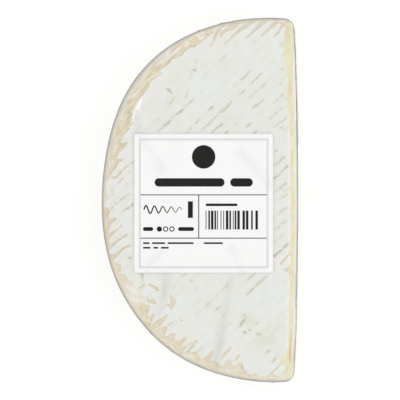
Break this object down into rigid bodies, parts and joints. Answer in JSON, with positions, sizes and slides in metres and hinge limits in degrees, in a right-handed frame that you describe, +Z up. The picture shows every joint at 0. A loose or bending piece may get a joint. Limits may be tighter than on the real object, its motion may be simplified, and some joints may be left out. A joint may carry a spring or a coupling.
{
  "type": "half camembert cheese wheel in clear film",
  "caption": "Half of a soft white-rind cheese wheel, cut through its middle, wrapped tight in clear film, with a square paper label stuck on its flat top.",
  "frame": {"origin": "middle of the footprint's box, on the surface that the cheese rests on", "axes": "+X towards the cut face, +Y along the cut, +Z up through the label"},
  "size_m": [0.06, 0.1108, 0.0283],
  "materials": {
    "cheese_rind": "velvety white mould with beige marks, under clear film",
    "clear_film": "clear thin film, glossy, with creases",
    "label_paper": "white coated paper, lightly creased",
    "label_ink": "black printing ink",
    "label_grey_ink": "pale grey printing ink"
  },
  "bodies": {
    "root": {"wrapped_cheese": "cheese_rind", "label": "label_paper"}
  },
  "joints": []
}
